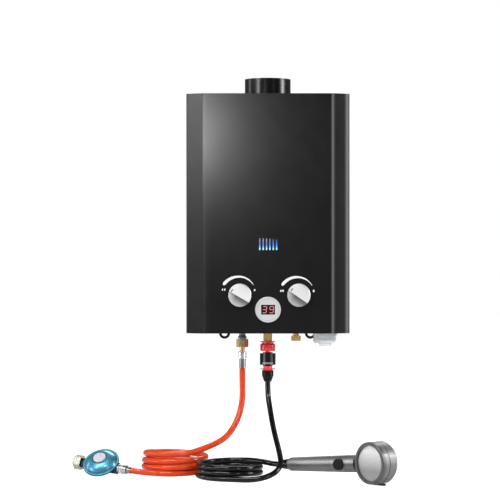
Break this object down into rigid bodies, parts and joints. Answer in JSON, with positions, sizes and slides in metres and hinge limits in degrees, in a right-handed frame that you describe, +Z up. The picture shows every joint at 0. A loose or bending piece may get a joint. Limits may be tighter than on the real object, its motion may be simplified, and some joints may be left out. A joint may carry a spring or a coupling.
{
  "type": "portable propane water heater",
  "caption": "Portable propane water heater: black wall casing with flue collar, knobs and display, gas regulator on a hose, and a hand shower on a hose.",
  "frame": {"origin": "centre of the back plate's wall face", "axes": "+Y into the wall, so -Y is the casing's front; +Z up along the casing's height and flue; +X to the right seen from the front"},
  "size_m": [0.5861, 0.3249, 0.7315],
  "materials": {
    "black_coat": "satin black powder coat",
    "black_collar": "gloss black enamel",
    "zinc_screw": "blackened steel",
    "copper": "bare copper",
    "stainless": "brushed stainless",
    "galvanised": "galvanised sheet",
    "aluminium_cast": "as cast",
    "brass": "bright machined",
    "brass_cast": "cast",
    "ceramic": "white glazed ceramic",
    "diaphragm_rubber": "matte",
    "spring_steel": "spring wire",
    "black_plastic": "moulded",
    "silver_knob": "silver paint, satin",
    "silver_bezel": "silver paint, satin",
    "smoked_window": "smoked clear",
    "circuit_board": "green board with a red digit display",
    "mica": "mica sheet",
    "battery_white": "translucent white",
    "cell_jacket": "plain jacket",
    "chrome_fit": "polished",
    "steel_fit": "machined",
    "red_plastic": "gloss red",
    "black_gloss": "gloss black",
    "orange_hose": "gloss orange-red",
    "black_hose": "gloss black",
    "blue_casting": "metallic blue",
    "teal_casting": "dark metallic teal",
    "white_cap": "white",
    "shower_silver": "brushed silver",
    "shower_white": "pale grey"
  },
  "bodies": {
    "heater": {"front_cover": "black_coat", "back_plate": "black_coat", "top_panel": "black_coat", "bottom_panel": "black_coat", "casing_screws": "zinc_screw", "flue_collar": "black_collar", "exchanger_shell": "copper", "exchanger_fins": "copper", "water_pipe": "copper", "burner_tray": "galvanised", "burner_bars": "stainless", "gas_manifold": "galvanised", "draught_hood": "galvanised", "spark_electrodes": "ceramic", "gas_valve_body": "aluminium_cast", "gas_solenoid": "black_plastic", "water_valve_body": "brass_cast", "water_diaphragm": "diaphragm_rubber", "water_valve_cover": "brass_cast", "push_rod_spring": "spring_steel", "flow_microswitch": "black_plastic", "pulse_igniter": "black_plastic", "water_sensors": "black_plastic", "display_bezel": "silver_bezel", "display_window": "smoked_window", "display_board": "circuit_board", "flame_window": "mica", "battery_case": "battery_white", "batteries": "cell_jacket", "battery_contacts": "stainless", "gas_inlet": "steel_fit", "hot_outlet": "brass", "cold_inlet": "brass", "outlet_adaptor": "red_plastic", "coupler_core": "red_plastic", "coupler_nut": "black_gloss", "regulator_body": "teal_casting", "regulator_bonnet": "blue_casting", "regulator_outlet_nut": "steel_fit", "gas_hose_ends": "chrome_fit", "shower_handle": "shower_silver", "shower_head": "shower_silver", "spray_plate": "shower_white", "gas_hose": "orange_hose", "shower_hose": "black_hose", "gas_hose_coil": "orange_hose", "shower_hose_coil": "black_hose"},
    "gas_control": {"gas_knob": "silver_knob", "gas_spindle": "brass"},
    "water_control": {"water_knob": "silver_knob", "water_spindle": "brass"},
    "push_rod": {"valve_push_rod": "stainless"},
    "battery_door": {"battery_lid": "battery_white"},
    "coupler_ring": {"coupler_sleeve": "black_gloss"},
    "gas_nut": {"gas_hose_nut": "brass"},
    "cylinder_nut": {"regulator_hand_nut": "brass"},
    "vent_cap": {"regulator_cap": "white_cap"},
    "button": {"shower_button": "black_gloss"},
    "spray_selector": {"spray_ring": "shower_silver"},
    "shower_union": {"shower_nut": "black_gloss"}
  },
  "joints": [
    {"name": "gas_knob_turn", "type": "hinge", "parent": "heater", "child": "gas_control", "pos_m": [-0.0515, -0.1, -0.1495], "axis": [0, 1, 0], "range_deg": [0, 112]},
    {"name": "water_knob_turn", "type": "hinge", "parent": "heater", "child": "water_control", "pos_m": [0.0563, -0.1, -0.1495], "axis": [0, 1, 0], "range_deg": [0, 112]},
    {"name": "push_rod_slide", "type": "slide", "parent": "heater", "child": "push_rod", "axis": [-1, 0, 0], "range_m": [0, 0.003], "stiffness_N_per_m": 800, "springref_m": -0.004, "deforming": ["push_rod_spring"]},
    {"name": "battery_lid_open", "type": "hinge", "parent": "heater", "child": "battery_door", "pos_m": [0.106, -0.0192, -0.222], "axis": [1, 0, 0], "range_deg": [0, 95]},
    {"name": "coupler_sleeve_slide", "type": "slide", "parent": "heater", "child": "coupler_ring", "axis": [0, 0, 1], "range_m": [0, 0.0018], "stiffness_N_per_m": 1500, "springref_m": -0.002},
    {"name": "gas_hose_nut_turn", "type": "hinge", "parent": "heater", "child": "gas_nut", "pos_m": [-0.0473, -0.062, -0.24], "axis": [0, 0, -1], "continuous": true},
    {"name": "regulator_hand_nut_turn", "type": "hinge", "parent": "heater", "child": "cylinder_nut", "pos_m": [-0.35081, -0.0795, -0.45986], "axis": [0.9085, -0.4063, -0.0977], "continuous": true},
    {"name": "regulator_cap_turn", "type": "hinge", "parent": "heater", "child": "vent_cap", "pos_m": [-0.307, -0.105, -0.4582], "axis": [-0.1899, -0.6097, 0.7696], "continuous": true},
    {"name": "shower_button_press", "type": "slide", "parent": "heater", "child": "button", "axis": [0.5099, 0.8602, 0], "range_m": [0, 0.0015], "stiffness_N_per_m": 1500, "springref_m": -0.001},
    {"name": "spray_ring_turn", "type": "hinge", "parent": "heater", "child": "spray_selector", "pos_m": [0.18957, -0.28467, -0.43989], "axis": [-0.769, -0.6392, 0], "range_deg": [0, 90]},
    {"name": "shower_nut_turn", "type": "hinge", "parent": "heater", "child": "shower_union", "pos_m": [0.026, -0.168, -0.4545], "axis": [0.8587, -0.509, 0.0591], "continuous": true}
  ]
}
